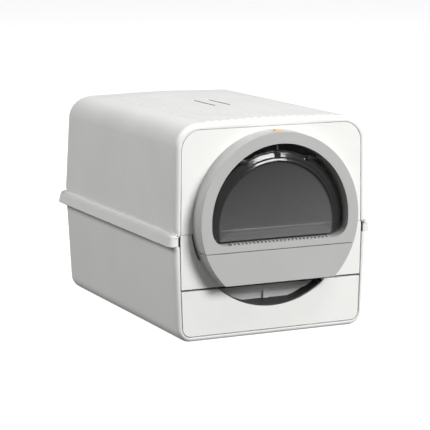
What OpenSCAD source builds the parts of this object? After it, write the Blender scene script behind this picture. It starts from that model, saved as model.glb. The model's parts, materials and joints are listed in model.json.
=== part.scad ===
// Hooded litter box with a pull-out tray, a lift-off hood and a swinging door.
// Millimetres. X is the width, -Y is the front, +Z is up.
// The origin is the middle of the footprint, on the surface that the box stands on.

/* [Overall] */
// Width over the skirt of the hood
skirt_w = 400; // [390:2:410]
// Depth from the face of the door ring to the back of the skirt
total_d = 605; // [595:5:625]
// Height of the joint between hood and base
seam_z = 191; // [189:1:193]
// Height of the hood's top edge at its sides
top_z = 383.4; // [382:0.2:385]
// Rise of the top towards its middle
crown = 2.6; // [0:0.2:3]

/* [Walls] */
// Wall of the two big shells
wall = 3; // [2.5:0.5:3.5]
// Wall of the tray
tray_wall = 2.5; // [2:0.5:3]
// Visible gap between neighbouring panels
gap = 0.6; // [0.4:0.1:1]

/* [Top ridges] */
// Number of ridges along the top
ridge_n = 17; // [9:2:17]
// Distance between ridges
ridge_pitch = 15.2; // [14:0.1:15.4]
// Height of a ridge
ridge_h = 2.2; // [1:0.2:3]

/* [Door ring] */
// Height of the ring's centre
ring_z = 211; // [210:1:212]
// Outer radius at the ring's face
ring_r = 153.8; // [153:0.2:154.4]
// How far the ring stands out from the panel
ring_out = 32.5; // [30:0.5:34]
// Radius of the doorway
door_r = 133.6; // [133:0.2:134]
// Height of the doorway's sill
sill_z = 171.4; // [170:0.2:172]

/* [Door flap] */
// Radius of the flap
flap_r = 131.5; // [130:0.5:131.5]
// Height of the flap's centre
flap_z = 198.6; // [198:0.2:199]
// Height of the flap's lower edge
flap_low = 176; // [175.5:0.5:178]
// Height of the hinge axis
hinge_z = 314.5; // [314:0.5:315]
// Radius of a hinge pin
pin_r = 2; // [1.8:0.1:2]

/* [Drawer] */
// Height of the gap over the drawer
drawer_top = 90; // [89.5:0.5:91]
// Depth of the pull pocket
pocket_d = 28; // [26:0.5:32]
// Radius of the cut-out for the hand
smile_r = 160.3; // [158:0.1:161]

/* [Hidden] */
$fn = 96;

front = -total_d / 2;
face = front + ring_out;
back = total_d / 2;
panel_t = 3;
plate_front = face + 0.5;
plate_back = plate_front + panel_t;
rim_back = face + 8;
ledge_back = rim_back + 3;
ledge_w = 9;
far = 700;

// Skirt of the hood
skirt_bot = seam_z - 20;
skirt_top = seam_z - 1;
skirt_t = 3;
web_z = skirt_top - 3;
skirt_gap_x = 182.5;
skirt_r = 38;

// Half widths of the shells: [height, half width] at the foot and at the head of each wall
base_foot = 181;
base_head = 190;
base_r = 24;
hood_foot = 186;
hood_head = 183;
hood_r = 42;
base_back_foot = 287;
base_back_head = 293;
hood_back_foot = 297;
hood_back_head = 273;
hood_back_r = 40;
plan_r = 40;
hood_plan_r = 34;
front_fillet = 8;

// Panels set into the front
panel_foot = 173.5;
panel_mid = 176.4;
panel_head = 178.5;
panel_low = 9.5;
panel_r = 15;
hood_panel_foot = 177;
hood_panel_head = 175;
hood_panel_top = 372;
hood_panel_r = 36;
mid_low = 94;
notch_r = 158.8;
tongue_r = 155.4;
tongue_low = 145.5;
band_low = 100.5;
band_top = 158.4;
band_back = face - 0.5;
ring_low = 159.8;
ring_grow = 1.6;
door_corner = 29;
tunnel_back = rim_back;
retainer_back = plate_back + 2.5;

// Flap and its hinge
hinge_y = -285;
flap_corner = 25;
flap_front = hinge_y + 1;
flap_back = hinge_y + 4;
lip_front = hinge_y - 4;
arm_in = 57;
arm_out = 75.5;
pin_start = 60;
pin_end = 102.5;
bush_in = 97;
bush_out = 103;
bush_half = 5.5;
running = 0.05;

// Lock
lock_travel = 8;
lock_pin_r = 1.3;
lock_pin_low = 331.8;
lock_foot = 357.5;
lock_head = 368.2;

// Drawer
tray_front = plate_back + pocket_d;
tray_back = 268;
runner_back = 261;
tray_low = 9.6;
tray_top = 84;
tray_half = 165.5;
lip = 4;
apron_low = 73.3;
pocket_half = 112;
pocket_r = 158;
pocket_low = 50.9;
pocket_floor = 59.5;
runner_front = -250;
boss_r = 4;
pilot_r = 1.55;
shank_r = 1.5;

// Filter under the top
slot_x = ridge_pitch;
slot_w = 5;
slot_front = -63;
slot_back = 29;
filter_half = 40.5;
filter_front = -80;
filter_back = 45;
filter_low = 374.2;
filter_top = 380;

// ---------- outlines ----------
function unit(v) = v / norm(v);
function half_angle(p, q, s) = acos(unit(p - q) * unit(s - q)) / 2;
function tangents(p, q, s, r) =
  let(d = r / tan(half_angle(p, q, s))) [q + unit(p - q) * d, q + unit(s - q) * d];
function corner_centre(p, q, s, r) =
  q + unit(unit(p - q) + unit(s - q)) * r / sin(half_angle(p, q, s));

// A convex outline whose corners are true arcs; a radius of 0 keeps a corner sharp
module rounded(pts, rad) {
  n = len(pts);
  polygon([for (i = [0 : n - 1]) each
    rad[i] > 0 ? tangents(pts[(i + n - 1) % n], pts[i], pts[(i + 1) % n], rad[i]) : [pts[i]]]);
  for (i = [0 : n - 1])
    if (rad[i] > 0)
      translate(corner_centre(pts[(i + n - 1) % n], pts[i], pts[(i + 1) % n], rad[i])) circle(rad[i]);
}

// A circle cut off by a straight sill, with rounded corners where they meet
module dee(r, cz, low, corner) {
  dz = low + corner - cz;
  cx = sqrt(pow(r - corner, 2) - dz * dz);
  tx = cx * r / (r - corner);
  tz = cz + dz * r / (r - corner);
  intersection() {
    translate([0, cz]) circle(r, $fn = 180);
    translate([-r - 1, tz]) square([2 * r + 2, 2 * r]);
  }
  polygon([[-tx, tz], [-cx, low], [cx, low], [tx, tz]]);
  for (s = [-1, 1]) translate([s * cx, low + corner]) circle(corner);
}

module along_y(y0, y1) translate([0, y1, 0]) rotate([90, 0, 0]) linear_extrude(y1 - y0) children();
module along_x(x0, x1) translate([x0, 0, 0]) rotate([90, 0, 90]) linear_extrude(x1 - x0) children();
module along_z(z0, z1) translate([0, 0, z0]) linear_extrude(z1 - z0) children();
module both() {
  children();
  mirror([1, 0, 0]) children();
}
module block(a, b) translate(a) cube(b - a);
// A round bar along +Y
module bar_y(p, r, len) translate(p) rotate([-90, 0, 0]) cylinder(h = len, r = r, $fn = 32);

// Everything below or above a height, as a cutter for an XZ outline
module above(z) translate([-far, z]) square([2 * far, far]);
module below(z) translate([-far, z - far]) square([2 * far, far]);

// ---------- outlines of the shells ----------
module base_front_outline(o, head_z) {
  slope = (base_head - base_foot) / seam_z;
  rounded([[-(base_foot - o), o], [base_foot - o, o],
           [base_foot + slope * head_z - o, head_z], [-(base_foot + slope * head_z - o), head_z]],
          [base_r - o, base_r - o, 0, 0]);
}
module base_side_outline(o, head_z) {
  rounded([[-far, o], [base_back_foot - o, o], [base_back_head - o, head_z], [-far, head_z]],
          [0, base_r - o, 0, 0]);
}
module back_plan(half, y_back, r) {
  rounded([[-half, -far], [half, -far], [half, y_back], [-half, y_back]], [0, 0, r, r]);
}
module hood_front_outline(o) {
  rounded([[-(hood_foot - o), web_z], [hood_foot - o, web_z], [hood_head - o, top_z - o],
           [0, top_z + crown - o], [-(hood_head - o), top_z - o]],
          [0, 0, hood_r - o, 0, hood_r - o]);
}
module hood_side_outline(o, y_front, fillet) {
  rounded([[y_front, web_z], [hood_back_foot - o, web_z], [hood_back_head - o, top_z + crown - o],
           [y_front, top_z + crown - o]],
          [0, 0, hood_back_r - o, fillet]);
}

// Front panels: g grows the outline, for the opening that a panel sits in
module low_panel_outline(g) {
  rounded([[-(panel_foot + g), panel_low - g], [panel_foot + g, panel_low - g],
           [panel_mid + g, drawer_top], [panel_head + g, seam_z],
           [-(panel_head + g), seam_z], [-(panel_mid + g), drawer_top]],
          [panel_r + g, panel_r + g, 0, 0, 0, 0]);
}
module hood_panel_outline(g, low) {
  rounded([[-(hood_panel_foot + g), low], [hood_panel_foot + g, low],
           [hood_panel_head + g, hood_panel_top + g], [-(hood_panel_head + g), hood_panel_top + g]],
          [0, 0, hood_panel_r + g, hood_panel_r + g]);
}

ring_outer = ring_r + ring_grow;
// The ring's outer form, a slightly tapered disc standing on the front
module ring_body(o, y0, y1) {
  translate([0, y1, ring_z]) rotate([90, 0, 0])
    cylinder(h = y1 - y0, r1 = ring_outer - o, r2 = ring_r - o, $fn = 180);
}
module doorway(g) dee(door_r + g, ring_z, sill_z - g, door_corner + g);
module flap_outline(o) dee(flap_r - o, flap_z, flap_low + o, flap_corner - o);

// ---------- fasteners ----------
// Self-tapping screw pointing to -Y, head seat at the given point
module screw(p, len) {
  head_r = 3.2;
  head_h = 2.2;
  cross_w = 0.9;
  cross_len = 4;
  cross_deep = 1.2;
  difference() {
    bar_y(p, head_r, head_h);
    for (size = [[cross_len, cross_w], [cross_w, cross_len]])
      translate([p[0] - size[0] / 2, p[1] + head_h - cross_deep, p[2] - size[1] / 2])
        cube([size[0], cross_deep + 1, size[1]]);
  }
  bar_y([p[0], p[1] - len, p[2]], shank_r, len);
}
ring_screw_r = 143.7;
mid_screws = [for (x = [-172, 172], z = [106, 160]) [x, z]];
hood_screw_places = [for (x = [-168.5, 168.5], z = [205, 300]) [x, z], [-100, 367], [100, 367]];
ring_screw_places = [for (a = [-12, 15, 75, 105, 165, 192]) ring_screw_r * [cos(a), sin(a)] + [0, ring_z]];
band_screw_places = [[-60, 122], [60, 122]];
drawer_screw_places = [for (x = [-122, 122], z = [60, 76]) [x, z]];
short_screw = 8.5;
hole_r = shank_r + 0.3;
pilot_len = 6;

// ---------- base ----------
module base_shell() {
  rim_z = web_z - 0.1;
  rim_half = 195.5;
  rim_y = 298;
  post_top = skirt_bot - 0.5;
  ledge_in = 166;
  ledge_low = 98;
  ledge_high = 168;
  color("gainsboro") difference() {
    union() {
      intersection() {
        along_y(face, back) base_front_outline(0, rim_z);
        along_x(-far / 2, far / 2) base_side_outline(0, rim_z);
        along_z(-1, rim_z + 1) back_plan(base_head, base_back_head, plan_r + 5);
      }
      // outward rim that the hood stands on
      along_z(rim_z - wall, rim_z) intersection() {
        back_plan(rim_half, rim_y, plan_r + 3);
        translate([-far / 2, rim_back]) square([far, far]);
      }
    }
    // the inside, open at the top
    intersection() {
      along_y(rim_back, back) base_front_outline(wall, seam_z + 10);
      along_x(-far / 2, far / 2) base_side_outline(wall, seam_z + 10);
      along_z(0, seam_z + 5) back_plan(base_head - wall, base_back_head - wall, plan_r + 2);
    }
    // the front opening
    along_y(face - 1, rim_back + 1) low_panel_outline(gap);
    // room for the ends of the skirt
    block([-far / 2, face - 1, post_top], [far / 2, rim_back - 1, seam_z + 5]);
  }
  // ledges behind the middle panel
  color("gainsboro") both() difference() {
    along_y(rim_back, ledge_back) intersection() {
      polygon([[ledge_in, ledge_low], [base_head - 4, ledge_low],
               [base_head - 1.5, ledge_high], [ledge_in, ledge_high]]);
      base_front_outline(0.5, seam_z - 5);
    }
    for (p = mid_screws) bar_y([abs(p[0]), rim_back - 1, p[1]], hole_r, 6);
  }
}

module mid_panel() {
  edge_half = 170;
  edge_d = 8;
  edge_h = 2.5;
  color("white") difference() {
    union() {
      along_y(plate_front, plate_back) difference() {
        intersection() {
          low_panel_outline(0);
          above(mid_low);
          below(seam_z - 0.5);
        }
        intersection() {
          translate([0, ring_z]) circle(notch_r, $fn = 180);
          above(tongue_low - 1);
        }
      }
      // stiffening edge over the drawer
      block([-edge_half, plate_back - 1, mid_low], [edge_half, plate_back + edge_d, mid_low + edge_h]);
      for (p = mid_screws) bar_y([p[0], plate_back - 1, p[1]], boss_r, rim_back - plate_back + 1);
    }
    for (p = mid_screws) bar_y([p[0], rim_back - pilot_len, p[1]], pilot_r, pilot_len + 1);
    for (p = band_screw_places) bar_y([p[0], plate_front - 1, p[1]], hole_r, 6);
  }
}

// Lower part of the ring, fixed on the middle panel
module lower_band() {
  shell = 3;
  pilot_start = front + 16;
  color("darkgray") difference() {
    union() {
      difference() {
        intersection() {
          ring_body(0, front, plate_front);
          block([-far, front - 1, band_low], [far, face + 1, band_top]);
        }
        intersection() {
          ring_body(shell, front + shell, plate_front + 1);
          block([-far, front, band_low + shell], [far, face + 2, band_top - shell]);
        }
      }
      for (p = band_screw_places) bar_y([p[0], front + 1, p[1]], boss_r + 1, plate_front - front - 1);
    }
    for (p = band_screw_places) bar_y([p[0], pilot_start, p[1]], pilot_r, ring_out);
    // room for the tongue of the hood's panel
    block([-far, band_back, tongue_low - 1.5], [far, face + 5, band_top + 1]);
  }
}

// Angled rail that stands on the base's floor and guides the tray's side
module runner() {
  inner = 138;
  bend = 156;
  outer = 169.5;
  rail_t = 2.5;
  floor_z = 3;
  seat_z = 9.2;
  guide_z = 30;
  along_y(runner_front, runner_back)
    polygon([[inner, floor_z], [bend, floor_z], [outer, 12], [outer, guide_z],
             [outer - rail_t, guide_z], [outer - rail_t, 16.5], [bend, seat_z], [inner, seat_z]]);
}
module runner_right() color("silver") runner();
module runner_left() color("silver") mirror([1, 0, 0]) runner();

module panel_screws() color("lightgray") for (p = mid_screws) screw([p[0], ledge_back, p[1]], short_screw);
module band_screws() color("lightgray") for (p = band_screw_places) screw([p[0], plate_back, p[1]], 15);

// ---------- drawer ----------
module drawer_front() {
  edge = 2.5;
  edge_d = 7;
  color("whitesmoke") difference() {
    union() {
      along_y(plate_front, plate_back + edge_d) intersection() {
        low_panel_outline(0);
        below(drawer_top);
      }
      for (p = drawer_screw_places) bar_y([p[0], plate_back - 1, p[1]], boss_r, rim_back - plate_back + 1);
    }
    // hollow behind, leaving a turned-back edge
    difference() {
      along_y(plate_back, plate_back + edge_d + 1) intersection() {
        low_panel_outline(-edge);
        below(drawer_top - edge);
      }
      for (p = drawer_screw_places) bar_y([p[0], plate_back - 1, p[1]], boss_r, rim_back - plate_back + 1);
    }
    along_y(face - 1, plate_back + edge_d + 1) translate([0, ring_z]) circle(smile_r, $fn = 180);
    for (p = drawer_screw_places) bar_y([p[0], rim_back - pilot_len, p[1]], pilot_r, pilot_len + 1);
  }
}

// Finger pocket that joins the drawer's front to the tray: a curved scoop with a sloping floor
module pull_pocket() {
  t = 2.5;
  outer = pocket_half + t;
  wall_low = 50;
  plate_low = wall_low + 1;
  side_top = tray_top - 3.5;
  ear_in = 60;
  ear_half = 131;
  ear_low = 54;
  hook_z = tray_top + 0.2;
  hook_in = pocket_half - 12;
  hook_front = tray_front - lip - 6;
  hook_back = tray_front + 5.5;
  color("dimgray") difference() {
    union() {
      // the floor rises from the panel's lower edge to the tray
      intersection() {
        along_x(-outer, outer) polygon([[plate_back, plate_low - t], [plate_back, pocket_low],
                                        [tray_front, pocket_floor], [tray_front, pocket_floor - t]]);
        along_y(plate_back, tray_front) translate([0, ring_z]) circle(pocket_r + t, $fn = 180);
      }
      // the curved sides
      along_y(plate_back, tray_front) intersection() {
        difference() {
          translate([0, ring_z]) circle(pocket_r + t, $fn = 180);
          translate([0, ring_z]) circle(pocket_r, $fn = 180);
        }
        translate([-outer, wall_low]) square([2 * outer, tray_top - wall_low]);
      }
      both() {
        block([pocket_half, plate_back, wall_low], [outer, tray_front - lip - 1, hook_z + 3]);
        block([pocket_half, plate_back, wall_low], [outer, tray_front, side_top]);
        // ear that the front is screwed to
        along_y(rim_back, rim_back + t) difference() {
          translate([ear_in, ear_low]) square([ear_half - ear_in, tray_top - ear_low]);
          translate([0, ring_z]) circle(pocket_r + 1, $fn = 180);
        }
        // hook over the rim of the tray
        block([hook_in, hook_front, hook_z], [outer, hook_back, hook_z + 3]);
        block([hook_in, tray_front + tray_wall + 0.3, hook_z - 9], [outer, hook_back, hook_z + 3]);
      }
    }
    for (p = drawer_screw_places) bar_y([p[0], rim_back - 1, p[1]], hole_r, 8);
    // room for the front of the tray's rim
    block([-hook_in, tray_front - lip - 0.4, apron_low - 0.4], [hook_in, tray_front + 1, tray_top + 0.1]);
  }
}

module tray_form(o, top) {
  draft = 2;
  foot_r = 20;
  front_r = 12;
  rear_r = 30;
  intersection() {
    along_y(tray_front + o, tray_back - o)
      rounded([[-(tray_half - draft - o), tray_low + o], [tray_half - draft - o, tray_low + o],
               [tray_half - o, top], [-(tray_half - o), top]], [foot_r - o, foot_r - o, 0, 0]);
    along_z(0, top + 1)
      rounded([[-(tray_half - o), tray_front + o], [tray_half - o, tray_front + o],
               [tray_half - o, tray_back - o], [-(tray_half - o), tray_back - o]],
              [front_r - o, front_r - o, rear_r - o, rear_r - o]);
  }
}
module litter_tray() {
  rim_t = 2.5;
  apron_half = 95;
  rib_half = 5;
  rib_d = lip + 1;
  color("lightgray") difference() {
    union() {
      tray_form(0, tray_top);
      // rolled rim
      along_z(tray_top - rim_t, tray_top)
        rounded([[-(tray_half + lip), tray_front - lip], [tray_half + lip, tray_front - lip],
                 [tray_half + lip, tray_back + lip], [-(tray_half + lip), tray_back + lip]],
                [16, 16, 34, 34]);
      // deep front of the rim, and the rib below it
      block([-apron_half, tray_front - lip, apron_low],
            [apron_half, tray_front + 1, tray_top - rim_t + 0.5]);
      block([-rib_half, tray_front - rib_d, pocket_floor + 0.3],
            [rib_half, tray_front + 1, tray_top - 1]);
    }
    tray_form(tray_wall, tray_top + 5);
  }
}
module drawer_screws() color("lightgray") {
  for (p = drawer_screw_places) screw([p[0], rim_back + 2.5, p[1]], 8);
}

// ---------- hood ----------
module hood_form(o, y_front, fillet) {
  intersection() {
    along_y(-far / 2, back) hood_front_outline(o);
    along_x(-far / 2, far / 2) hood_side_outline(o, y_front, fillet);
    along_z(0, far) back_plan(hood_foot - o, hood_back_foot - o, hood_plan_r - o);
  }
}
function top_at(x) = top_z + crown * (1 - abs(x) / hood_head);
module ridges() {
  ridge_len = 466;
  chord = ridge_pitch * 0.43;
  r = (chord * chord + ridge_h * ridge_h) / (2 * ridge_h);
  for (i = [0 : ridge_n - 1]) {
    x = (i - (ridge_n - 1) / 2) * ridge_pitch;
    difference() {
      bar_y([x, face + 5, top_at(x) + ridge_h - r], r, ridge_len);
      // only the part above the wall's outer face is kept
      block([x - r - 1, face, top_at(x) - 2 * r], [x + r + 1, back, top_at(x) - 1]);
    }
  }
}
module skirt() {
  difference() {
    along_z(skirt_bot, skirt_top) intersection() {
      back_plan(skirt_w / 2, back, skirt_r);
      translate([-far / 2, face]) square([far, far]);
    }
    along_z(skirt_bot - 1, web_z) intersection() {
      back_plan(skirt_w / 2 - skirt_t, back - skirt_t, skirt_r - skirt_t);
      translate([-far / 2, face + 4]) square([far, far]);
    }
    along_z(skirt_bot - 1, skirt_top + 1) intersection() {
      back_plan(hood_foot - wall, hood_back_foot - wall, hood_plan_r - wall);
      translate([-far / 2, rim_back]) square([far, far]);
    }
    block([-skirt_gap_x, face - 1, skirt_bot - 1], [skirt_gap_x, rim_back + 1, skirt_top + 1]);
  }
}
module hood_shell() {
  rail_front = filter_front - 2;
  rail_back = filter_back + 2;
  rail_low = filter_low - 2.2;
  rail_out = filter_half + 3;
  color("whitesmoke") difference() {
    union() {
      difference() {
        union() {
          hood_form(0, face, front_fillet);
          ridges();
        }
        block([-far / 2, face - 5, web_z - 5], [far / 2, rim_back + 1, skirt_top]);
        block([-skirt_gap_x, face - 5, web_z - 5], [skirt_gap_x, rim_back + 1, seam_z]);
        hood_form(wall, rim_back, 0);
        // the front opening
        along_y(face - 5, rim_back + 1) hood_panel_outline(gap, seam_z - 10);
      }
      skirt();
      // ledge behind the panel
      along_y(rim_back, ledge_back) difference() {
        hood_panel_outline(4, seam_z + 1);
        hood_panel_outline(-ledge_w - 1, seam_z);
      }
      // rails that the filter slides on
      both() {
        block([filter_half + 0.5, rail_front, rail_low], [rail_out, rail_back, top_z - 0.5]);
        block([filter_half - 3, rail_front, rail_low], [rail_out, rail_back, filter_low - 0.2]);
      }
    }
    for (p = hood_screw_places) bar_y([p[0], rim_back - 1, p[1]], hole_r, 6);
    // vent slots
    for (x = [-slot_x, slot_x]) {
      block([x - slot_w / 2, slot_front, top_z - 10], [x + slot_w / 2, slot_back, top_z + 20]);
      for (y = [slot_front, slot_back]) translate([x, y, top_z - 10]) cylinder(h = 30, r = slot_w / 2);
    }
  }
}

module hood_panel() {
  low = seam_z + 0.5;
  color("white") difference() {
    union() {
      along_y(plate_front, plate_back) {
        hood_panel_outline(0, low);
        intersection() {
          translate([0, ring_z]) circle(tongue_r, $fn = 180);
          above(tongue_low);
          below(low + 20);
        }
      }
      for (p = hood_screw_places) bar_y([p[0], plate_back - 1, p[1]], boss_r, rim_back - plate_back + 1);
    }
    along_y(face - 1, rim_back) doorway(3.3);
    for (p = hood_screw_places) bar_y([p[0], rim_back - pilot_len, p[1]], pilot_r, pilot_len + 1);
    for (p = ring_screw_places) bar_y([p[0], face - 1, p[1]], hole_r, 8);
  }
}

module door_ring() {
  shell = 3;
  boss_front = front + 1;
  pilot_start = front + 16;
  well_half = 6.3;
  well_d = 5;
  color("silver") difference() {
    union() {
      difference() {
        intersection() {
          ring_body(0, front, plate_front);
          block([-far, front - 1, ring_low], [far, face + 2, far]);
        }
        // hollow behind the face
        difference() {
          intersection() {
            ring_body(shell, front + shell, plate_front + 1);
            block([-far, front, ring_low + shell], [far, face + 3, far]);
          }
          along_y(front, face + 5) doorway(shell);
        }
      }
      along_y(boss_front, tunnel_back) doorway(shell);
      for (p = ring_screw_places) bar_y([p[0], boss_front, p[1]], boss_r + 0.5, plate_front - boss_front);
    }
    along_y(front - 1, tunnel_back + 1) doorway(0);
    for (p = ring_screw_places) bar_y([p[0], pilot_start, p[1]], pilot_r, ring_out);
    // passages of the hinge pins
    translate([-bush_in, hinge_y, hinge_z]) rotate([0, 90, 0]) cylinder(h = 2 * bush_in, r = pin_r + 1);
    // well of the lock and the bore of its pin
    block([-well_half, hinge_y - well_d, ring_z + ring_r - 8], [well_half, hinge_y + well_d, far]);
    translate([0, hinge_y, ring_z]) cylinder(h = 140, r = lock_pin_r + running, $fn = 48);
  }
}

module ring_retainer() {
  outer_r = 150;
  color("silver") difference() {
    along_y(plate_back, retainer_back) difference() {
      intersection() {
        translate([0, ring_z]) circle(outer_r, $fn = 180);
        above(ring_low + 0.4);
      }
      doorway(3.3);
    }
    for (p = ring_screw_places) bar_y([p[0], plate_back - 1, p[1]], hole_r, 5);
  }
}

// Anti-slip strip on the sill
module sill_tread() {
  pitch = 7.5;
  n = 26;
  base_h = 0.9;
  tooth_h = 2.6;
  tooth_w = 3.9;
  half = n * pitch / 2;
  y0 = front + 0.5;
  y1 = lip_front - 3;
  tooth_low = sill_z + base_h;
  color("gray") union() {
    block([-half, y0, sill_z], [half, y1, tooth_low]);
    for (i = [0 : n - 1]) {
      x = -half + (i + 0.5) * pitch;
      block([x - tooth_w / 2, y0, tooth_low - 0.1], [x + tooth_w / 2, y1, tooth_low + tooth_h]);
    }
  }
}

// Bearing blocks in the ring that carry the flap's pins
module hinge_bushes() {
  color("dimgray") both() difference() {
    block([bush_in, front + 3, hinge_z - bush_half], [bush_out, hinge_y + 6, hinge_z + bush_half]);
    translate([bush_in - 1, hinge_y, hinge_z]) rotate([0, 90, 0])
      cylinder(h = bush_out - bush_in + 2, r = pin_r + running, $fn = 48);
  }
}

module ring_screws() color("lightgray") {
  for (p = ring_screw_places) screw([p[0], retainer_back, p[1]], 20);
}

module hood_screws() color("lightgray") {
  for (p = hood_screw_places) screw([p[0], ledge_back, p[1]], short_screw);
}

// Slotted tray under the vent, with the filter pad in it
module filter_holder() {
  t = 2;
  slit_pitch = 8;
  slit_half = 2;
  inset = 8;
  color("whitesmoke") difference() {
    block([-filter_half, filter_front, filter_low], [filter_half, filter_back, filter_top]);
    block([-filter_half + t, filter_front + t, filter_low + t],
          [filter_half - t, filter_back - t, filter_top + 1]);
    for (i = [-4 : 4])
      block([i * slit_pitch - slit_half, filter_front + inset, filter_low - 1],
            [i * slit_pitch + slit_half, filter_back - inset, filter_low + t + 1]);
  }
}
module carbon_filter() {
  inset = 2.5;
  color("black")
    block([-filter_half + inset, filter_front + inset, filter_low + 2],
          [filter_half - inset, filter_back - inset, filter_top - 0.2]);
}

// ---------- flap ----------
module flap_pane() {
  arm_half = 4;
  seat_half = 5;
  seat_low = 319;
  seat_high = flap_z + flap_r - 0.4;
  color("dimgray", 0.6) difference() {
    union() {
      along_y(flap_front, flap_back) flap_outline(0);
      // the two raised lips of the frame
      along_y(lip_front, flap_front + 1) difference() {
        flap_outline(3);
        flap_outline(8);
      }
      along_y(lip_front + 1, flap_front + 1) difference() {
        flap_outline(13);
        flap_outline(17);
      }
      // arms that hold the pins
      both() block([arm_in, hinge_y - arm_half, hinge_z - arm_half],
                   [arm_out, hinge_y + arm_half, hinge_z + arm_half]);
      // seat of the lock's pin
      block([-seat_half, hinge_y - 4.5, seat_low], [seat_half, flap_back, seat_high]);
    }
    both() translate([pin_start, hinge_y, hinge_z]) rotate([0, 90, 0])
      cylinder(h = 40, r = pin_r + 0.02, $fn = 48);
    translate([0, hinge_y, lock_pin_low - lock_travel - 1]) cylinder(h = 20, r = lock_pin_r + 0.7);
  }
}
module hinge_pins() {
  color("lightgray") both() translate([pin_start, hinge_y, hinge_z]) rotate([0, 90, 0])
    cylinder(h = pin_end - pin_start, r = pin_r, $fn = 48);
}

// ---------- lock ----------
module lock_button() {
  half = 5.8;
  half_d = 4.6;
  flange_half = 7.5;
  flange_h = 2.5;
  color("goldenrod") {
    block([-half, hinge_y - half_d, lock_foot], [half, hinge_y + half_d, lock_head]);
    block([-flange_half, hinge_y - half_d, lock_foot],
          [flange_half, hinge_y + half_d, lock_foot + flange_h]);
  }
}
module lock_pin() {
  color("lightgray") translate([0, hinge_y, lock_pin_low])
    cylinder(h = lock_foot - lock_pin_low, r = lock_pin_r, $fn = 48);
}

base_shell();
mid_panel();
lower_band();
runner_left();
runner_right();
panel_screws();
band_screws();
drawer_front();
pull_pocket();
litter_tray();
drawer_screws();
hood_shell();
hood_panel();
door_ring();
ring_retainer();
sill_tread();
hinge_bushes();
ring_screws();
hood_screws();
filter_holder();
carbon_filter();
flap_pane();
hinge_pins();
lock_button();
lock_pin();
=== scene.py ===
"""Hooded cat litter box: the looks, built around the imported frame.

The object's lengths are in millimetres and go through MM on their way into Blender. The camera, the lights,
the floor and the materials are in metres.
X is the width, -Y the front and +Z up, as in the frame.
"""

import json
import math

import bmesh
import bpy
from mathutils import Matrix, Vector


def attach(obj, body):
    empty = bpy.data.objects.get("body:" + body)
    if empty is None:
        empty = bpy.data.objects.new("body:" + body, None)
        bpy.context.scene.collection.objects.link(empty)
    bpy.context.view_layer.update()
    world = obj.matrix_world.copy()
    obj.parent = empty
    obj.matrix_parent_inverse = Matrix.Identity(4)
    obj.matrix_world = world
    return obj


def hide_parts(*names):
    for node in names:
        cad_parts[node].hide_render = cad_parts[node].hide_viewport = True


MM = 0.001
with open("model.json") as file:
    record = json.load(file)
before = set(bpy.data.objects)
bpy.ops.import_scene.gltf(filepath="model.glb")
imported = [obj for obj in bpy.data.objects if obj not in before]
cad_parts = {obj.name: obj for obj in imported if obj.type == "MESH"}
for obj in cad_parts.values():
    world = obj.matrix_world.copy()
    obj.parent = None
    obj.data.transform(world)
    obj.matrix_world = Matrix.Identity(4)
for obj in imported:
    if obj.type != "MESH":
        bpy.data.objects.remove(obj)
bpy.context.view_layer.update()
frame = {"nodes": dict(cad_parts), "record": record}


# ---------------------------------------------------------------- camera, light and floor

def add_camera():
    """The photograph's view: a long lens, from the front left, a little above."""
    azimuth = math.radians(-25.24)
    elevation = math.radians(9.73)
    back = Vector((math.sin(azimuth) * math.cos(elevation), -math.cos(azimuth) * math.cos(elevation),
                   math.sin(elevation)))
    data = bpy.data.cameras.new("camera")
    data.lens = 154.32
    data.sensor_width = 36
    data.clip_end = 50
    camera = bpy.data.objects.new("camera", data)
    camera.location = Vector((-1.4568, -3.1208, 0.7626))
    camera.rotation_euler = (-back).to_track_quat("-Z", "Y").to_euler()
    bpy.context.scene.collection.objects.link(camera)
    bpy.context.scene.camera = camera


LIGHTS = (
    # name, place, target, (width, height), watts
    ("key", (2.95, -6.75, 4.2), (0, -0.2, 0.2), (3.0, 3.0), 710),
    ("softbox", (0.75, -1.0, 2.5), (0, -0.1, 0.3), (1.1, 0.6), 15),
    ("fill", (-3.9, 0.4, 3.4), (0, -0.1, 0.2), (2.0, 2.0), 130),
)
WORLD_LEVEL = 0.22
# (0 straight down to 1 straight up, grey)
WORLD_GREYS = ((0.0, 0.9), (0.38, 0.95), (0.52, 0.55), (0.7, 0.7), (1.0, 1.0))
FLOOR_HALF = 30.0
FLOOR_Z = -0.0005


def add_area(name, place, target, size, power):
    data = bpy.data.lights.new(name, "AREA")
    data.shape = "RECTANGLE"
    data.size, data.size_y = size
    data.energy = power
    light = bpy.data.objects.new(name, data)
    light.location = place
    light.rotation_euler = (Vector(target) - Vector(place)).to_track_quat("-Z", "Y").to_euler()
    bpy.context.scene.collection.objects.link(light)


def add_world(level):
    """Soft light all round: dimmest at eye level, brighter overhead and from below."""
    world = bpy.data.worlds.new("studio")
    world.use_nodes = True
    tree = world.node_tree
    background = tree.nodes["Background"]
    place = tree.nodes.new("ShaderNodeTexCoord")
    axes = tree.nodes.new("ShaderNodeSeparateXYZ")
    height = tree.nodes.new("ShaderNodeMapRange")
    height.inputs["From Min"].default_value = -1
    ramp = tree.nodes.new("ShaderNodeValToRGB")
    while len(ramp.color_ramp.elements) < len(WORLD_GREYS):
        ramp.color_ramp.elements.new(0.5)
    for element, (at, value) in zip(ramp.color_ramp.elements, WORLD_GREYS):
        element.position = at
        element.color = (value, value, value, 1)
    tree.links.new(place.outputs["Generated"], axes.inputs[0])
    tree.links.new(axes.outputs["Z"], height.inputs["Value"])
    tree.links.new(height.outputs["Result"], ramp.inputs["Fac"])
    tree.links.new(ramp.outputs["Color"], background.inputs["Color"])
    background.inputs["Strength"].default_value = level
    bpy.context.scene.world = world


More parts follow.
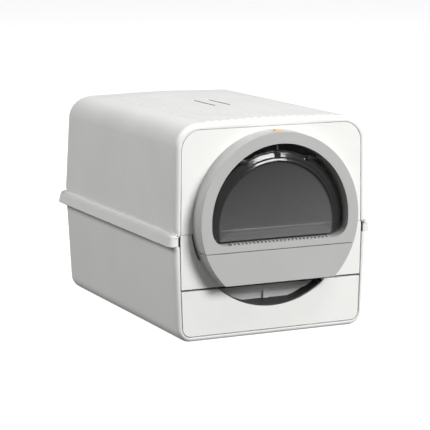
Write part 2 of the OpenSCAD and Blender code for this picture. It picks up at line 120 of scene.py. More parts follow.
def add_floor(material):
    """A pale floor that throws no light of its own on to the object."""
    mesh = bpy.data.meshes.new("floor")
    corners = [(a * FLOOR_HALF, b * FLOOR_HALF, 0) for a, b in ((-1, -1), (1, -1), (1, 1), (-1, 1))]
    mesh.from_pydata(corners, [], [(0, 1, 2, 3)])
    mesh.materials.append(material)
    floor = bpy.data.objects.new("floor", mesh)
    floor.location.z = FLOOR_Z
    floor.visible_diffuse = False
    floor.visible_glossy = False
    bpy.context.scene.collection.objects.link(floor)


# ---------------------------------------------------------------- materials

class Nodes:
    """Short names for building a node tree."""

    def __init__(self, name):
        self.material = bpy.data.materials.new(name)
        self.material.use_nodes = True
        self.tree = self.material.node_tree
        self.shader = self.tree.nodes["Principled BSDF"]

    def add(self, kind, values=None, **props):
        node = self.tree.nodes.new(kind)
        for key, value in props.items():
            setattr(node, key, value)
        for key, value in (values or {}).items():
            node.inputs[key].default_value = value
        return node

    def link(self, a, b):
        self.tree.links.new(a, b)

    def place(self):
        if not hasattr(self, "_place"):
            self._place = self.add("ShaderNodeTexCoord").outputs["Object"]
        return self._place

    def noise(self, scale, detail=3.0, rough=0.55):
        node = self.add("ShaderNodeTexNoise", {"Scale": scale, "Detail": detail, "Roughness": rough})
        self.link(self.place(), node.inputs["Vector"])
        return node.outputs["Fac"]

    def ramp(self, source, low, high, to_low, to_high):
        node = self.add("ShaderNodeMapRange", {"From Min": low, "From Max": high,
                                               "To Min": to_low, "To Max": to_high})
        self.link(source, node.inputs["Value"])
        return node.outputs["Result"]

    def mix(self, factor, a, b):
        node = self.add("ShaderNodeMix", data_type="RGBA")
        self.link(factor, node.inputs["Factor"])
        for socket, value in ((6, a), (7, b)):
            if isinstance(value, tuple):
                node.inputs[socket].default_value = (*value, 1)
            else:
                self.link(value, node.inputs[socket])
        return node.outputs[2]

    def bump(self, height, strength, distance, normal=None):
        node = self.add("ShaderNodeBump", {"Strength": strength, "Distance": distance})
        self.link(height, node.inputs["Height"])
        if normal is not None:
            self.link(normal, node.inputs["Normal"])
        return node.outputs["Normal"]


def plastic(name, colour, roughness, coat=0.0):
    """Moulded plastic: fine spark-eroded grain, soft flow unevenness, dust and rub in the gloss."""
    vary = 0.02
    n = Nodes(name)
    shade = tuple(c * (1 - vary) for c in colour)
    light = tuple(min(1.0, c * (1 + vary)) for c in colour)
    n.link(n.mix(n.ramp(n.noise(9, 5), 0.35, 0.65, 0, 1), shade, light), n.shader.inputs["Base Color"])
    gloss = n.ramp(n.noise(140, 4, 0.6), 0.3, 0.7, roughness - 0.05, roughness + 0.05)
    n.link(gloss, n.shader.inputs["Roughness"])
    wave = n.bump(n.noise(14, 2), 0.05, 0.002)
    n.link(n.bump(n.noise(2600, 2, 0.5), 0.05, 0.0002, wave), n.shader.inputs["Normal"])
    n.shader.inputs["IOR"].default_value = 1.5
    n.shader.inputs["Coat Weight"].default_value = coat
    return n.material


def metal(name, colour, roughness):
    """Plain steel whose shine is a little uneven."""
    n = Nodes(name)
    n.link(n.mix(n.ramp(n.noise(300, 4), 0.3, 0.7, 0, 1), tuple(0.85 * c for c in colour), colour),
           n.shader.inputs["Base Color"])
    n.link(n.ramp(n.noise(900, 3), 0.3, 0.7, roughness - 0.08, roughness + 0.1), n.shader.inputs["Roughness"])
    n.link(n.bump(n.noise(2500, 2), 0.08, 0.0001), n.shader.inputs["Normal"])
    n.shader.inputs["Metallic"].default_value = 1.0
    return n.material


def felt(name, colour):
    """Matted fibres of the filter pad."""
    n = Nodes(name)
    n.link(n.mix(n.ramp(n.noise(700, 6, 0.7), 0.3, 0.7, 0, 1), tuple(0.5 * c for c in colour), colour),
           n.shader.inputs["Base Color"])
    n.link(n.bump(n.noise(1500, 6, 0.7), 0.6, 0.0006), n.shader.inputs["Normal"])
    n.shader.inputs["Roughness"].default_value = 0.95
    n.shader.inputs["Sheen Weight"].default_value = 0.3
    return n.material


def smoked_with_painted_light(name):
    """Tinted clear plastic of the flap, with painted light on it: a painted reflection makes it lighter towards
    the bottom right and darker towards the top and its left, and a painted shade makes it darkest beside its rim.
    """
    n = Nodes(name)
    slant = n.add("ShaderNodeVectorMath", {1: (-0.3, 0, 1)}, operation="DOT_PRODUCT")
    n.link(n.place(), slant.inputs[0])
    # painted reflection: the pane's colour runs from lighter at the bottom right to darker at the top and its left
    tint_and_painted_reflection = n.mix(n.ramp(slant.outputs["Value"], 0.17, 0.31, 0, 1), (0.14, 0.14, 0.139), (0.065, 0.065, 0.066))
    # how far a point is from the middle of the flap's circle, seen from the front
    flat = n.add("ShaderNodeVectorMath", {1: (1, 0, 1)}, operation="MULTIPLY")
    n.link(n.place(), flat.inputs[0])
    reach = n.add("ShaderNodeVectorMath", {1: (0, 0, FLAP_Z * MM)}, operation="DISTANCE")
    n.link(flat.outputs["Vector"], reach.inputs[0])
    # painted shade: a near-black band just inside the flap's rim
    with_painted_rim_shade = n.mix(n.ramp(reach.outputs["Value"], 0.109, 0.113, 0, 1), tint_and_painted_reflection, (0.03, 0.03, 0.031))
    n.link(n.mix(n.ramp(n.noise(6, 3), 0.35, 0.65, 0, 0.2), with_painted_rim_shade, (0.07, 0.07, 0.07)),
           n.shader.inputs["Base Color"])
    n.link(n.ramp(n.noise(120, 3), 0.3, 0.7, 0.1, 0.15), n.shader.inputs["Roughness"])
    n.link(n.bump(n.noise(8, 1), 0.02, 0.001), n.shader.inputs["Normal"])
    n.shader.inputs["Alpha"].default_value = 0.8
    n.shader.inputs["IOR"].default_value = 1.49
    return n.material


def floor_material():
    """Pale paper, lit a little from within so that it reads as a studio sweep."""
    n = Nodes("floor_paper")
    n.link(n.mix(n.ramp(n.noise(3, 3), 0.3, 0.7, 0, 1), (0.93, 0.93, 0.93), (0.95, 0.95, 0.95)),
           n.shader.inputs["Base Color"])
    n.shader.inputs["Roughness"].default_value = 0.9
    n.shader.inputs["Emission Color"].default_value = (1, 1, 1, 1)
    n.shader.inputs["Emission Strength"].default_value = 0.72
    return n.material


FLAP_Z = 198.6  # middle of the flap's circle

MATERIALS = {
    "white_shell": plastic("white_shell", (0.80, 0.80, 0.785), 0.5),
    "white_panel": plastic("white_panel", (0.83, 0.83, 0.81), 0.42),
    "ring_grey": plastic("ring_grey", (0.465, 0.467, 0.458), 0.4),
    "tread_grey": plastic("tread_grey", (0.4, 0.4, 0.395), 0.5),
    "inner_grey": plastic("inner_grey", (0.25, 0.25, 0.26), 0.6),
    "tray_grey": plastic("tray_grey", (0.75, 0.75, 0.745), 0.4),
    "runner_white": plastic("runner_white", (0.7, 0.7, 0.69), 0.5),
    # pocket_dark: a dark grey liner, made near-black so that its colour also carries painted shade inside the hand
    # recess under the band
    "pocket_dark": plastic("pocket_dark", (0.035, 0.034, 0.036), 0.6),
    "screw_steel": metal("screw_steel", (0.6, 0.6, 0.58), 0.35),
    "carbon": felt("carbon", (0.03, 0.03, 0.03)),
    "smoke": smoked_with_painted_light("smoke"),
    "pin_steel": metal("pin_steel", (0.35, 0.35, 0.35), 0.45),
    "amber": plastic("amber", (0.75, 0.48, 0.12), 0.25, coat=0.4),
}
SLOT_OF = {s["node"]: s["material_slot"] for s in frame["record"]["subparts"]}
BODY_OF = {node: body for body, nodes in frame["record"]["behaviour"]["bodies"].items() for node in nodes}


# ---------------------------------------------------------------- mesh tools

def finish_mesh(bm, name, sharp=35, merge=1e-6):
    """A smooth-shaded object from a bmesh, with its sharp edges marked."""
    bmesh.ops.remove_doubles(bm, verts=bm.verts, dist=merge)
    bmesh.ops.recalc_face_normals(bm, faces=bm.faces)
    for face in bm.faces:
        face.smooth = True
    for edge in bm.edges:
        if len(edge.link_faces) == 2:
            edge.smooth = edge.calc_face_angle(0) < math.radians(sharp)
    mesh = bpy.data.meshes.new(name)
    bm.to_mesh(mesh)
    bm.free()
    obj = bpy.data.objects.new(name, mesh)
    bpy.context.scene.collection.objects.link(obj)
    return obj


def add_bevel(obj, width, segments):
    bevel = obj.modifiers.new("bevel", "BEVEL")
    bevel.width = width * MM
    bevel.segments = segments
    bevel.limit_method = "ANGLE"
    bevel.angle_limit = math.radians(32)
    bevel.harden_normals = True
    bevel.use_clamp_overlap = True


def dress(obj, node, slot=None):
    """This object rides with the CAD node and has its finish, or that of another slot."""
    slot = slot or SLOT_OF[node]
    obj.data.materials.clear()
    obj.data.materials.append(MATERIALS[slot])
    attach(obj, BODY_OF[node])


def stand_for(obj, *nodes):
    """This object takes the place, the body and the finish of these CAD nodes."""
    dress(obj, nodes[0])
    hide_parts(*nodes)


def refine(node, width, segments=3):
    """The CAD node's own shape with clean faces and rounded edges."""
    bm = bmesh.new()
    bm.from_mesh(frame["nodes"][node].data)
    bmesh.ops.remove_doubles(bm, verts=bm.verts, dist=2e-6)
    bmesh.ops.dissolve_limit(bm, angle_limit=math.radians(0.4), verts=bm.verts, edges=bm.edges)
    obj = finish_mesh(bm, node + "_fine")
    add_bevel(obj, width, segments)
    stand_for(obj, node)


def add_grid(bm, rows):
    """Quads between neighbouring rows of points in millimetres."""
    made = [[bm.verts.new(Vector(p) * MM) for p in row] for row in rows]
    for a, b in zip(made, made[1:]):
        for i in range(len(a) - 1):
            bm.faces.new((a[i], a[i + 1], b[i + 1], b[i]))


def add_box(bm, low, high, round_by):
    """A block with rounded edges, added to a mesh that is being made."""
    made = bmesh.ops.create_cube(bm, size=1)["verts"]
    size = Vector(high) - Vector(low)
    middle = (Vector(high) + Vector(low)) / 2
    for v in made:
        v.co = Vector(v.co[i] * size[i] + middle[i] for i in range(3)) * MM
    edges = list({e for v in made for e in v.link_edges})
    bmesh.ops.bevel(bm, geom=edges, offset=round_by * MM, segments=2, affect="EDGES", profile=0.5)


def add_pair(bm, low, high, round_by):
    """The same block on both sides of the middle plane."""
    for s in (-1, 1):
        left, right = sorted((s * low[0], s * high[0]))
        add_box(bm, (left, *low[1:]), (right, *high[1:]), round_by)


def add_loft(bm, rings, cap_first=None, cap_last=None):
    """Closed rings of points joined one to the next, with a fan to a point at either end."""
    made = [[bm.verts.new(Vector(p) * MM) for p in ring] for ring in rings]
    n = len(made[0])
    for a, b in zip(made, made[1:]):
        for i in range(n):
            j = (i + 1) % n
            bm.faces.new((a[i], a[j], b[j], b[i]))
    for ring, tip in ((made[0], cap_first), (made[-1], cap_last)):
        if tip:
            point = bm.verts.new(Vector(tip) * MM)
            for i in range(n):
                bm.faces.new((ring[i], ring[(i + 1) % n], point))


def add_hull(bm, points):
    """The smallest block round these points."""
    made = [bm.verts.new(Vector(p) * MM) for p in points]
    bmesh.ops.convex_hull(bm, input=made)


def apply_modifiers(obj):
    """The mesh as its modifiers leave it, with none of them kept."""
    graph = bpy.context.evaluated_depsgraph_get()
    mesh = bpy.data.meshes.new_from_object(obj.evaluated_get(graph))
    obj.modifiers.clear()
    obj.data = mesh


def cut_by(obj, cutter, crossing=False):
    """What the cutter fills is taken out for good; crossing says that parts of obj run into each other."""
    cut = obj.modifiers.new("cut", "BOOLEAN")
    cut.object = cutter
    cut.operation = "DIFFERENCE"
    cut.solver = "EXACT"
    cut.use_self = crossing
    apply_modifiers(obj)
    bpy.data.objects.remove(cutter)


def steps(a, b, n):
    """n + 1 values from a to b."""
    return [a + (b - a) * i / n for i in range(n + 1)]


def mix(a, b, t):
    """The value a share t of the way from a to b."""
    return a + (b - a) * t


# ---------------------------------------------------------------- the two shells

FRONT_Y = -270  # front face of the shells
RIM_Y = -262  # where the rounded front edge starts
SOFT_Y = -258  # where the sides start to turn in
FLARE_Y = -60  # where the sides start to spread
SIDE_INSET = 7.8  # how far the sides turn in, in all
LIP = 0.8  # round of the opening's edge
WALL = 3
ARC_N = 9  # segments of a quarter turn
RIM_N = 7  # sections of the rounded front edge


def quarter(n=ARC_N):
    """(1 - cos, sin) over a quarter turn."""
    return [(1 - math.cos(a), math.sin(a)) for a in steps(0, math.pi / 2, n)]


def u_loop(half, y_back, radius, side_ys, cross, z):
    """A shell's section at one height: left side, rear and right side, seen from above."""
    start = y_back - radius
    left = [(-half, y) for y in side_ys]
    left += [(-half + radius * c, start + radius * s) for c, s in quarter()]
    rear = [(u * (half - radius), y_back) for u in cross[1:-1]]
    right = [(-x, y) for x, y in reversed(left)]
    return [(x, y, z) for x, y in left + rear + right]


def flared(loop, by):
    """The sides spread a little towards the front."""
    out = []
    for x, y, z in loop:
        run = min(max((FLARE_Y - y) / (FLARE_Y - FRONT_Y), 0), 1)
        out.append((x + math.copysign(by * run * run * (3 - 2 * run), x), y, z))
    return out


def side_inset(y):
    """How far the sides are drawn in at this distance from the front."""
    run = min(max((SOFT_Y - y) / (SOFT_Y - FRONT_Y), 0), 1)
    return SIDE_INSET * (1 - math.sqrt(1 - run * run))


def soften(loop, weight):
    """The sides drawn in towards the front, ahead of the front's rounded edge."""
    return [(x - math.copysign(weight * side_inset(y), x), y, z) for x, y, z in loop]


def rim_steps(weight, radius):
    """(inset, y) from the end of the walls to the front face: a wide turn on the sides, a tight one elsewhere."""
    deep = SOFT_Y - FRONT_Y
    first = math.asin((SOFT_Y - RIM_Y) / deep)
    out = []
    for i in range(RIM_N + 1):
        wide = mix(first, math.pi / 2, i / RIM_N)
        tight = math.pi / 2 * i / RIM_N
        inset = mix(radius * (1 - math.cos(tight)), SIDE_INSET * (1 - math.cos(wide)) - side_inset(RIM_Y), weight)
        y = mix(RIM_Y - (RIM_Y - FRONT_Y) * math.sin(tight), SOFT_Y - deep * math.sin(wide), weight)
        out.append((inset, y))
    return out


def rim_sections(stations, radius):
    """Sections of a rounded front edge, one ahead of the other.

    A station is (point on the wall, its outward direction, point on the opening's edge, how much of a side it is).
    """
    curves = [rim_steps(weight, radius) for _, _, _, weight in stations]
    sections = []
    for k in range(len(curves[0])):
        row = []
        for ((x, z), (n, m), (ex, _), weight), curve in zip(stations, curves):
            inset, y = curve[k]
            if weight == 1:
                inset = min(inset, abs(x) - abs(ex) - LIP)
            row.append((x - n * inset, y, z - m * inset))
        sections.append(row)
    for c, s in quarter(3):
        sections.append([(ex + n * LIP * (1 - s), FRONT_Y + LIP * c, ez + m * LIP * (1 - s))
                         for _, (n, m), (ex, ez), _ in stations])
    sections.append([(ex, RIM_Y, ez) for _, _, (ex, ez), _ in stations])
    return sections


def cap_grid(loop, side_n, cross):
    """The flat part that closes a shell, across from the left of its last loop to the right."""
    count = side_n + ARC_N + 1
    return [[(u * -loop[i][0], loop[i][1], loop[i][2]) for u in cross] for i in range(count)]


def shell_object(bm, name):
    """Thickness for a sheet of quads; the sheet is the outer face."""
    obj = finish_mesh(bm, name, 40, 2e-6)
    middle = Vector((0, 0, SEAM * MM))
    outward = sum((f.center - middle).dot(f.normal) * f.area for f in obj.data.polygons)
    if outward < 0:
        obj.data.flip_normals()
    solid = obj.modifiers.new("wall", "SOLIDIFY")
    solid.thickness = WALL * MM
    solid.offset = -1
    solid.use_rim = True
    return obj


SEAM = 191  # height where the hood meets the base

# Hood: its foot and head, then the radii of its top edge and of its plan
H_FOOT, H_TOP = 187, 383.4
H_HALF, H_HEAD = 186, 183
H_BACK, H_BACK_HEAD = 297, 273
H_R, H_BACK_R, H_PLAN_R, H_PLAN_TOP = 42, 40, 34, 8
H_BEND = H_TOP - H_R  # height where the top edge starts to turn
TOP_HALF = H_HEAD - H_R
CROWN = 2.6
RIDGES, PITCH, RIDGE = 17, 15.2, 2.2  # number, pitch and height of the ridges
RIDGE_FRONT, RIDGE_BACK, RIDGE_END = -262.5, 201, 6.5  # their ends, and how long each end takes to fade
RIDGE_WIDE = 0.43  # half a ridge's width, of its pitch
SKIRT_HALF, SKIRT_BACK, SKIRT_R = 200, 302.5, 38
HOOD_RIM_R = 8
HOOD_FLARE = 2.5
# The opening in the hood's front: its corners are quarters of an ellipse
OPEN_HALF, OPEN_SKIRT_HALF = 178.5, 182.5
CORNER_X, CORNER_Z = 139, 336
CORNER_RX, CORNER_RZ = 37.5, 36.5
OPEN_TOP = 372.5


def ridge_height(x, y):
    """Rounded ridges along the top, each with a soft end."""
    if not RIDGE_FRONT < y < RIDGE_BACK:
        return 0.0
    i = round(x / PITCH)
    if abs(i) > RIDGES // 2:
        return 0.0
    u = (x - i * PITCH) / (RIDGE_WIDE * PITCH)
    end = min(y - RIDGE_FRONT, RIDGE_BACK - y)
    run = math.sqrt(max(0.0, 1 - (1 - min(end / RIDGE_END, 1)) ** 2))
    return RIDGE * run * max(0.0, 1 - u * u)


def hood_point(p, ridged=False):
    """Crown of the top, and its ridges."""
    x, y, z = p
    rise = max(0.0, min(1.0, (z - H_TOP + H_R) / H_R)) ** 2
    lift = CROWN * rise * max(0.0, 1 - (x / TOP_HALF) ** 2) ** 2
    return (x, y, z + lift + (ridge_height(x, y) if ridged else 0))


def hood_wall(z):
    """Half width and rear of the hood at a height, if its walls went straight on."""
    t = (z - H_FOOT) / (H_TOP - H_FOOT)
    return mix(H_HALF, H_HEAD, t), mix(H_BACK, H_BACK_HEAD, t)


def hood_rows():
    """(part of the skirt, height, turn of the top edge) from the bottom of the skirt up."""
    skirt = ((1.0, 171), (1.0, 172.2), (0.93, 176), (0.86, 180), (0.79, 184.4), (0.745, 187.3),
             (0.7, 189.1), (0.62, 190), (0.5, 189.7), (0.3, 189.1), (0.05, 189.2), (-0.08, 190),
             (-0.13, 191.6), (-0.12, 193.2), (-0.07, 195.6), (-0.02, 198), (0.0, 200.5), (0.0, 206),
             (0.0, 214))
    rows = [(t, z, 0) for t, z in skirt]
    rows += [(0.0, z, 0) for z in steps(224, H_BEND, 8)]
    rows += [(0.0, H_BEND + H_R * math.sin(a), a) for a in steps(0, math.pi / 2, 12)[1:]]
    return rows


def hood_sheet():
    """The outer face of the hood: its walls, its ridged top and its rounded front edge."""
    across_ridge = (-0.5, -0.43, -0.34, -0.22, -0.1, 0, 0.1, 0.22, 0.34, 0.43)
    ridge_us = [(i * PITCH + s * PITCH) / TOP_HALF
                for i in range(-(RIDGES // 2), RIDGES // 2 + 1) for s in across_ridge]
    cross = sorted({-1.0, 1.0, -0.965, 0.965, (RIDGES / 2) * PITCH / TOP_HALF, *[round(u, 6) for u in ridge_us]})
    side = [RIM_Y, -261, -259.5, -257.5, -256, -253, -250, -246] + steps(-238, 184, 33)
    side += [194.5, 197, 199, 200.4, RIDGE_BACK, 204, 214]
    low_half, low_back = hood_wall(H_BEND)
    high_half, high_back = hood_wall(H_TOP)
    bm = bmesh.new()
    loops = []
    for t, z, turn in hood_rows():
        half, back = hood_wall(z)
        radius = H_PLAN_R
        if turn:
            blend = 1 - math.cos(turn)
            half = mix(low_half, high_half, math.sin(turn)) - H_R * blend
            back = mix(low_back, high_back, math.sin(turn)) - H_BACK_R * blend
            radius = mix(H_PLAN_R, H_PLAN_TOP, blend)
        wall = u_loop(half, back, radius, side, cross, z)
        skirt = u_loop(SKIRT_HALF, SKIRT_BACK, SKIRT_R, side, cross, z)
        wall = flared(wall, HOOD_FLARE * math.cos(turn))
        loop = [tuple(mix(a, b, t) for a, b in zip(p, q)) for p, q in zip(wall, skirt)]
        loops.append(soften(loop, math.cos(turn)))
    add_grid(bm, [[hood_point(p) for p in loop] for loop in loops])
    cap = [[hood_point(p, True) for p in row] for row in cap_grid(loops[-1], len(side), cross)]
    add_grid(bm, cap)
    add_grid(bm, hood_rim(loops, cap[0]))
    return bm


def hood_edge(z, turn):
    """The point of the opening's edge, on the right, that belongs to a height of the wall."""
    if turn:
        return (CORNER_X + CORNER_RX * math.cos(turn), CORNER_Z + CORNER_RZ * math.sin(turn))
    if z < SEAM:
        return (OPEN_SKIRT_HALF, z)
    return (OPEN_HALF - 2 * (z - SEAM) / 150, SEAM + (z - SEAM) * (CORNER_Z - SEAM) / (H_BEND - SEAM))


def hood_rim(loops, first_row):
    """The rounded front edge, as sections one behind the other; each runs up, across and down."""
    left = []
    for (_, z, turn), loop in zip(hood_rows(), loops):
        left.append(((-loop[0][0], z), (math.cos(turn), math.sin(turn)), hood_edge(z, turn), math.cos(turn)))
    top = [((p[0], p[2]), (0, 1), (p[0] * CORNER_X / TOP_HALF, OPEN_TOP), 0) for p in first_row[1:-1]]
    return rim_sections([((-x, z), (-n, m), (-ex, ez), w) for (x, z), (n, m), (ex, ez), w in left]
                        + top + left[::-1], HOOD_RIM_R)


SLOT_FRONT, SLOT_BACK, SLOT_R = -63, 29, 2.5


def stadium(x, radius, z):
    """Outline of a vent slot, anticlockwise from above."""
    ring = []
    for y, start in ((SLOT_FRONT, math.pi), (SLOT_BACK, 0)):
        ring += [(x + radius * math.cos(a), y + radius * math.sin(a), z)
                 for a in steps(start, start + math.pi, 10)]
    return ring


def cut_slots(obj):
    """Two straight vents through the top."""
    bm = bmesh.new()
    for x in (-PITCH, PITCH):
        low, high = [[bm.verts.new(Vector(p) * MM) for p in stadium(x, SLOT_R, z)] for z in (372, 395)]
        bm.faces.new(reversed(low))
        bm.faces.new(high)
        for i in range(len(low)):
            j = (i + 1) % len(low)
            bm.faces.new((low[i], low[j], high[j], high[i]))
    cut_by(obj, finish_mesh(bm, "slot_cutter"))


def make_slot_liners():
    """Dark sleeves inside the vents."""
    section = ((2.6, 380.5), (2.6, 387.3), (2.3, 387.6), (2.0, 387.3), (2.0, 380.5))
    bm = bmesh.new()
    for x in (-PITCH, PITCH):
        rings = [stadium(x, r, z) for r, z in section]
        add_loft(bm, rings + rings[:1])
    dress(finish_mesh(bm, "vent_sleeves"), "hood_shell", "pocket_dark")


def make_hood():
    obj = shell_object(hood_sheet(), "hood_moulding")
    cut_slots(obj)
    stand_for(obj, "hood_shell")


# Base: half width and rear at its foot and at the seam, then the radii of its bottom edge and of its plan
B_FOOT, B_HEAD = 181, 190
B_BACK, B_BACK_HEAD = 287, 293
B_R, B_PLAN_R = 24, 45
B_FLANGE_Z, B_FLANGE_HALF, B_FLANGE_BACK, B_FLANGE_R = 183.9, 195.5, 298, 43
POST_TOP = 170.5  # the front of the side walls ends here, under the hood's skirt
BASE_RIM_R = 6
BASE_FLARE = 1.8
# The opening in the base's front: (height, half width of the drawer's front and the panel over it), and the gap
PANEL_EDGE = ((9.5, 173.5), (90, 176.4), (SEAM, 178.5))
PANEL_GAP = 1.9
LOW_CORNER_X, LOW_CORNER_Z = 159, 24.5
LOW_CORNER_RX, LOW_CORNER_RZ = 16.3, 16.5
OPEN_BOTTOM = 8


def base_wall(z):
    """Half width and rear of the base at a height."""
    t = z / SEAM
    return mix(B_FOOT, B_HEAD, t), mix(B_BACK, B_BACK_HEAD, t)


def base_rows():
    """(part of the rim, height, turn of the bottom edge) from the bottom up."""
    rows = [(0.0, B_R - B_R * math.sin(a), a) for a in steps(math.pi / 2, 0, 10)]
    rows += [(0.0, z, 0) for z in (30, 50, 70, 90, 110, 130, 150, 160, 168, POST_TOP, 174, 180, 182.4)]
    rows += [(0.1, 183.4, 0), (0.3, B_FLANGE_Z, 0), (1.0, B_FLANGE_Z, 0)]
    return rows


def base_sheet():
    """The outer face of the base: its floor, its walls with their flange and its rounded front edge."""
    cross = steps(-1.0, 1.0, 16)
    side = [RIM_Y, -260.5, -258.5, -256, -253, -250, -246] + steps(-238, 225, 25)
    bm = bmesh.new()
    loops = []
    for t, z, turn in base_rows():
        half, back = base_wall(max(z, B_R) if turn else z)
        inset = B_R * (1 - math.cos(turn))
        wall = u_loop(half - inset, back - inset, B_PLAN_R - inset, side, cross, z)
        flange = u_loop(B_FLANGE_HALF, B_FLANGE_BACK, B_FLANGE_R, side, cross, z)
        wall = flared(wall, BASE_FLARE * math.cos(turn))
        loop = [tuple(mix(a, b, t) for a, b in zip(p, q)) for p, q in zip(wall, flange)]
        loops.append(soften(loop, math.cos(turn)))
    add_grid(bm, loops)
    cap = cap_grid(loops[0], len(side), cross)
    add_grid(bm, cap)
    add_grid(bm, base_rim(loops, cap[0]))
    return bm


def low_panel_half(z):
    """Half width of the opening in the base at a height."""
    (low_z, low_half), (middle_z, middle_half), (high_z, high_half) = PANEL_EDGE
    if z < middle_z:
        return mix(low_half, middle_half, (z - low_z) / (middle_z - low_z)) + PANEL_GAP
    return mix(middle_half, high_half, (z - middle_z) / (high_z - middle_z)) + PANEL_GAP


def base_rim(loops, first_row):
    """The rounded front edge, as sections one behind the other; each runs down, across and up."""
    left = []
    for (_, z, turn), loop in zip(base_rows(), loops):
        if z > POST_TOP + 0.1:
            continue
        edge = (low_panel_half(z), z)
        if turn:
            edge = (LOW_CORNER_X + LOW_CORNER_RX * math.cos(turn), LOW_CORNER_Z - LOW_CORNER_RZ * math.sin(turn))
        left.append(((-loop[0][0], z), (math.cos(turn), -math.sin(turn)), edge, math.cos(turn)))
    widen = LOW_CORNER_X / (B_FOOT - B_R)
    stations = [((-x, z), (-n, m), (-ex, ez), w) for (x, z), (n, m), (ex, ez), w in reversed(left)]
    stations += [((p[0], p[2]), (0, -1), (p[0] * widen, OPEN_BOTTOM), 0) for p in first_row[1:-1]]
    stations += left
    return [[(x, RIM_Y, z) for (x, z), _, _, _ in stations]] + rim_sections(stations, BASE_RIM_R)


def make_base():
    stand_for(shell_object(base_sheet(), "base_moulding"), "base_shell")


# What the screws and the filter hold on to, inside the shells
LEDGE_Y = -259
BASE_LEDGE = ((166, 98), (183.5, 98), (186.5, 168), (166, 168))
HOOD_LEDGE_HALF, HOOD_LEDGE_R = 178, 36.6
HOOD_LEDGE_IN, HOOD_LEDGE_OUT = -9.5, 2.5
RAIL_BOXES = (((41, -82, 372), (43.5, 47, 383.5)), ((37.5, -82, 372), (43.5, 47, 374)))


def make_base_ledges():
    """The blocks beside the drawer that the panel is screwed to."""
    bm = bmesh.new()
    for s in (-1, 1):
        add_hull(bm, [(s * x, y, z) for x, z in BASE_LEDGE for y in (RIM_Y, LEDGE_Y)])
    obj = finish_mesh(bm, "base_ledges")
    add_bevel(obj, 0.4, 2)
    dress(obj, "base_shell")


def make_hood_ledge():
    """A strip behind the panel's edge, up one side, across and down the other."""
    path = [(-HOOD_LEDGE_HALF, 192, -1, 0)]
    path += [(-HOOD_LEDGE_HALF + 2 * (z - SEAM) / 181, z, -1, 0) for z in steps(200, CORNER_Z, 8)]
    path += [(-CORNER_X - HOOD_LEDGE_R * math.cos(a), CORNER_Z + HOOD_LEDGE_R * math.sin(a), -math.cos(a),
              math.sin(a)) for a in steps(0, math.pi / 2, 8)[1:]]
    path += [(-x, z, -n, m) for x, z, n, m in reversed(path)]
    section = ((HOOD_LEDGE_IN, RIM_Y), (HOOD_LEDGE_OUT, RIM_Y),
               (HOOD_LEDGE_OUT, LEDGE_Y), (HOOD_LEDGE_IN, LEDGE_Y))
    rings = [[(x + n * o, y, z + m * o) for o, y in section] for x, z, n, m in path]
    tips = [tuple(sum(p[i] for p in ring) / len(ring) for i in range(3)) for ring in (rings[0], rings[-1])]
    bm = bmesh.new()
    add_loft(bm, rings, *tips)
    dress(finish_mesh(bm, "hood_ledge"), "hood_shell")


def make_filter_rails():
    """Two angles under the top that the filter's holder slides on."""
    bm = bmesh.new()
    for low, high in RAIL_BOXES:
        add_pair(bm, low, high, 0.4)
    dress(finish_mesh(bm, "filter_rails"), "hood_shell")


# ---------------------------------------------------------------- flap

FLAP_R, FLAP_LOW, FLAP_CORNER = 131.5, 176, 25
FLAP_FRONT, FLAP_BACK = -284, -281
FLAP_MIDDLE_Z = 244
FLAP_DOME = 2.4
# (inset from the outline, how far ahead of the front face): two rounded lips run round the pane
FLAP_LIPS = ((0, 0.6), (0.3, 0.9), (1.2, 0.9), (1.6, 0.6), (2.6, 0.1), (4.0, 0.3), (5.3, 0.9), (6.4, 1.4),
             (8.4, 2.2), (10.4, 3.0), (11.1, 3.2), (11.8, 3.0), (12.6, 2.4), (13.3, 2.1), (14.1, 2.3),
             (15.6, 2.9), (17.1, 3.5), (17.8, 3.6), (18.5, 3.2), (19.4, 1.8), (20.3, 0.6), (21.3, 0))
HINGE_LUG = ((57, -289, 310.5), (75.5, -281.2, 318.5))
LOCK_SEAT = ((-5, -289.4, 319), (5, -281.2, 329.6))
BORE_Y, BORE_R, BORE_LOW, BORE_HIGH = -285, 2, 322.8, 345


def dee_outline(r, cz, low, corner):
    """A circle cut off by a straight sill, with rounded corners, anticlockwise from the front."""
    turn_n, corner_n, sill_n = 64, 8, 24
    dz = low + corner - cz
    cx = math.sqrt((r - corner) ** 2 - dz * dz)
    start = math.atan2(dz, cx)
    points = [(r * math.cos(a), cz + r * math.sin(a)) for a in steps(start, math.pi - start, turn_n)]
    points += [(-cx + corner * math.cos(a), low + corner + corner * math.sin(a))
               for a in steps(math.pi - start, 1.5 * math.pi, corner_n)[1:]]
    points += [(x, low) for x in steps(-cx, cx, sill_n)[1:]]
    points += [(cx + corner * math.cos(a), low + corner + corner * math.sin(a))
               for a in steps(-0.5 * math.pi, start, corner_n)[1:-1]]
    return points


def lip_height(z, inset):
    """What share of its full height a lip has here: least along the sill and most at the top."""
    over_sill = min(1.0, max(0.0, (z - inset - FLAP_LOW) / 40))
    near_top = min(1.0, max(0.0, (z - 230) / 60))
    return 0.2 + 0.45 * over_sill + 0.35 * near_top


def flap_ring(inset, ahead):
    """The flap's outline, drawn in, and ahead of the front face by the lips' height."""
    outline = dee_outline(FLAP_R - inset, FLAP_Z, FLAP_LOW + inset, FLAP_CORNER - inset)
    return [(x, FLAP_FRONT - ahead * lip_height(z, inset), z) for x, z in outline]


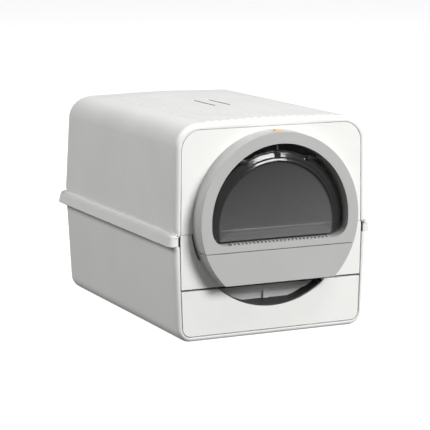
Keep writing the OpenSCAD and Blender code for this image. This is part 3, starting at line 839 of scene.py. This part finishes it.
def make_flap():
    """The pane: its back edge, the lips, a low dome, the hinge lugs and the seat of the lock's pin."""
    rings = [[(x, y, z) for x, _, z in flap_ring(inset, 0)]
             for inset, y in ((0.3, FLAP_BACK), (0, FLAP_BACK - 0.3))]
    rings += [flap_ring(inset, ahead) for inset, ahead in FLAP_LIPS]
    last = rings[-1]
    for scale in (0.92, 0.8, 0.65, 0.5, 0.35, 0.2):
        y = FLAP_FRONT - FLAP_DOME * (1 - scale ** 2)
        rings.append([(x * scale, y, mix(FLAP_MIDDLE_Z, z, scale)) for x, _, z in last])
    bm = bmesh.new()
    add_loft(bm, rings, (0, FLAP_BACK, FLAP_MIDDLE_Z), (0, FLAP_FRONT - FLAP_DOME, FLAP_MIDDLE_Z))
    add_pair(bm, *HINGE_LUG, 1.2)
    add_box(bm, *LOCK_SEAT, 0.8)
    obj = finish_mesh(bm, "flap_lens", 50)
    turn = [(BORE_R * math.cos(a), BORE_Y + BORE_R * math.sin(a)) for a in steps(0, 2 * math.pi, 24)[:-1]]
    bore = bmesh.new()
    add_loft(bore, [[(x, y, z) for x, y in turn] for z in (BORE_LOW, BORE_HIGH)],
             (0, BORE_Y, BORE_LOW), (0, BORE_Y, BORE_HIGH))
    cut_by(obj, finish_mesh(bore, "pin_bore"), True)
    stand_for(obj, "flap_pane")


# ---------------------------------------------------------------- the scene

# CAD nodes whose own shape is refined, and how far their edges are rounded
REFINED = {
    "hood_panel": 0.6, "mid_panel": 0.6, "drawer_front": 0.6,
    "door_ring": 1.2, "lower_band": 1.2,
    "litter_tray": 0.8, "pull_pocket": 0.6, "filter_holder": 0.5, "ring_retainer": 0.5, "lock_button": 0.8,
}


def paint_nodes():
    """CAD nodes that keep their own shape get the finished materials."""
    for node, obj in frame["nodes"].items():
        obj.data.materials.clear()
        obj.data.materials.append(MATERIALS[SLOT_OF[node]])


bpy.context.scene.view_settings.view_transform = "Standard"
add_camera()
add_world(WORLD_LEVEL)
add_floor(floor_material())
for light in LIGHTS:
    add_area(*light)

paint_nodes()
make_hood()
make_base()
make_base_ledges()
make_hood_ledge()
make_filter_rails()
make_slot_liners()
make_flap()
for node, width in REFINED.items():
    refine(node, width)
refine("sill_tread", 0.3, 2)
